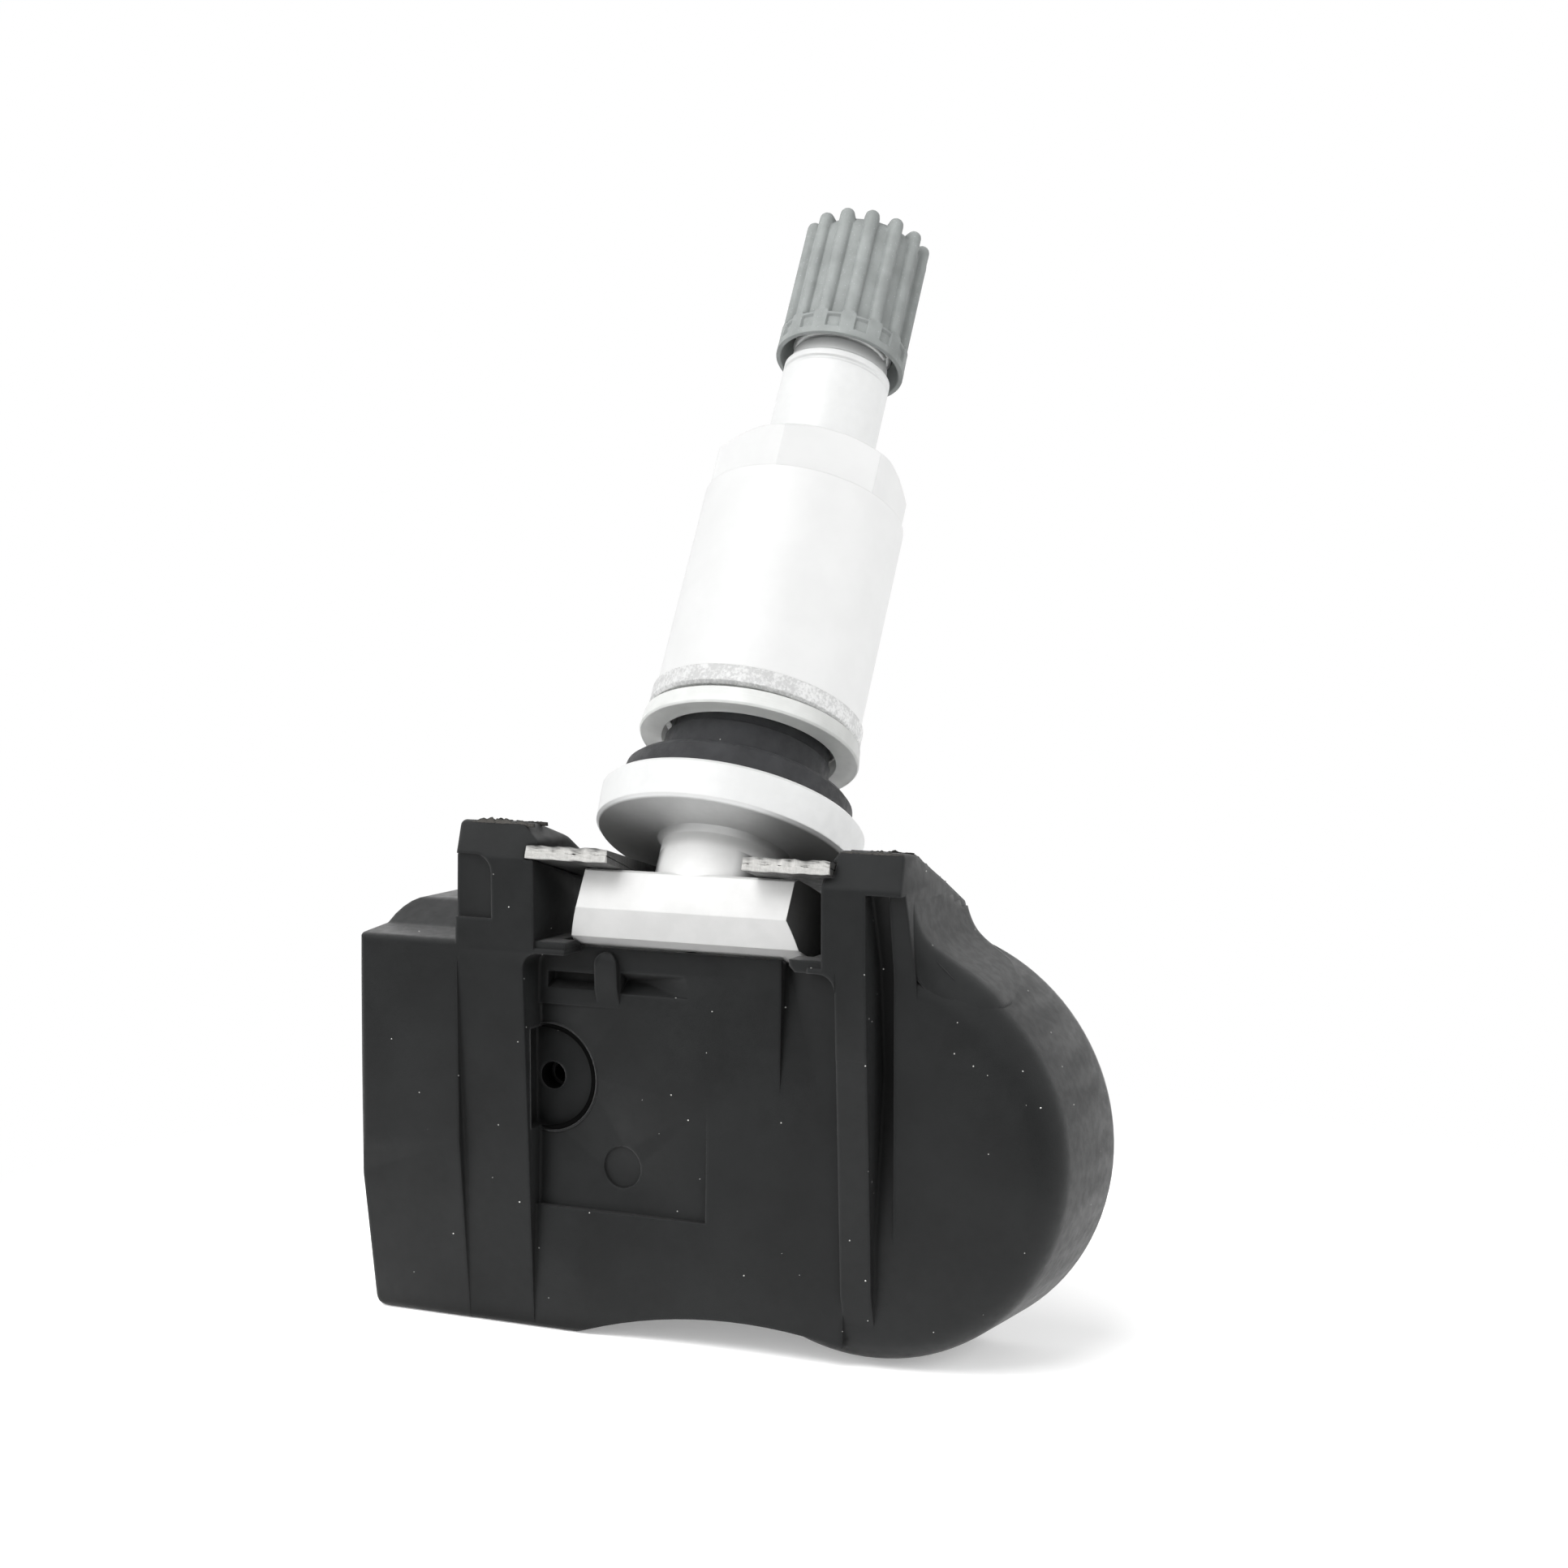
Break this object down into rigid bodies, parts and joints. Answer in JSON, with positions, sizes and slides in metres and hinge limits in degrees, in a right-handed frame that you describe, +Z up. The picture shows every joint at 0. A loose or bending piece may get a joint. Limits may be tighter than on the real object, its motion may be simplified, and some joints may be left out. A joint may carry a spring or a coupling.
{
  "type": "tyre pressure sensor",
  "caption": "Clamp-in tyre pressure sensor: a black moulded housing with a round battery lobe, and a leaning aluminium valve with sleeve nut, grommet and ribbed cap.",
  "frame": {"origin": "on the ground under the middle of the box round the whole part", "axes": "+Z up from the underside of the housing to the valve cap, -Y out of the face with the pressure port, so +X is to the right seen from the port face; the valve leans towards +Y"},
  "size_m": [0.0502, 0.0355, 0.0767],
  "materials": {
    "housing_nylon": "moulded, fine even grain",
    "cover_nylon": "smooth satin",
    "board_laminate": "green solder mask",
    "cell_steel": "bright can",
    "tab_nickel": "bright strip",
    "chip_black": "moulded",
    "chip_tan": "ceramic",
    "ferrite": "matte ceramic",
    "antenna_copper": "drawn wire",
    "fork_steel": "sheared edges, light grey",
    "valve_aluminium": "fine turned, satin",
    "nut_aluminium": "satin sleeve with a rough collar",
    "grommet_rubber": "matte",
    "seal_rubber": "matte",
    "washer_nylon": "milky, slightly clear",
    "cap_plastic": "grey, finely speckled",
    "core_brass": "turned",
    "gasket_red": "matte",
    "spring_steel": "bright wire"
  },
  "bodies": {
    "body": {"housing": "housing_nylon", "rear_cover": "cover_nylon", "circuit_board": "board_laminate", "coin_cell": "cell_steel", "cell_tab_front": "tab_nickel", "cell_tab_rear": "tab_nickel", "pressure_sensor": "chip_black", "port_seal": "seal_rubber", "control_chip": "chip_black", "crystal": "cell_steel", "wake_coil": "ferrite", "radio_antenna": "antenna_copper", "small_components": "chip_tan", "retaining_fork": "fork_steel", "valve_stem": "valve_aluminium", "grommet": "grommet_rubber", "core_barrel": "core_brass", "core_gasket": "gasket_red", "core_spring": "spring_steel"},
    "washer": {"sliding_washer": "washer_nylon"},
    "nut": {"sleeve_nut": "nut_aluminium"},
    "seal_carrier": {"cap_seal": "seal_rubber"},
    "cap": {"valve_cap": "cap_plastic"},
    "pin": {"core_pin": "core_brass", "core_seat": "seal_rubber"}
  },
  "joints": [
    {"name": "nut_travel", "type": "slide", "parent": "body", "child": "washer", "axis": [0, 0.4924, 0.8704], "range_m": [-0.0024, 0.0056]},
    {"name": "nut_turn", "type": "hinge", "parent": "washer", "child": "nut", "pos_m": [-0.00085, -0.00078, 0.04879], "axis": [0, 0.4924, 0.8704], "range_deg": [-1080, 2520]},
    {"name": "cap_travel", "type": "slide", "parent": "body", "child": "seal_carrier", "axis": [0, 0.4924, 0.8704], "range_m": [0, 0.00556]},
    {"name": "cap_turn", "type": "hinge", "parent": "seal_carrier", "child": "cap", "pos_m": [-0.00085, 0.01104, 0.06968], "axis": [0, 0.4924, 0.8704], "range_deg": [0, 2520]},
    {"name": "pin_press", "type": "slide", "parent": "body", "child": "pin", "axis": [0, -0.4924, -0.8704], "range_m": [0, 0.0012], "stiffness_N_per_m": 500, "springref_m": -0.0012, "deforming": ["core_spring"]}
  ],
  "couplings": [
    {"joint": "nut_travel", "follows": "nut_turn", "m_per_rad": 0.00012637},
    {"joint": "cap_turn", "follows": "cap_travel", "rad_per_m": 7913.3}
  ]
}
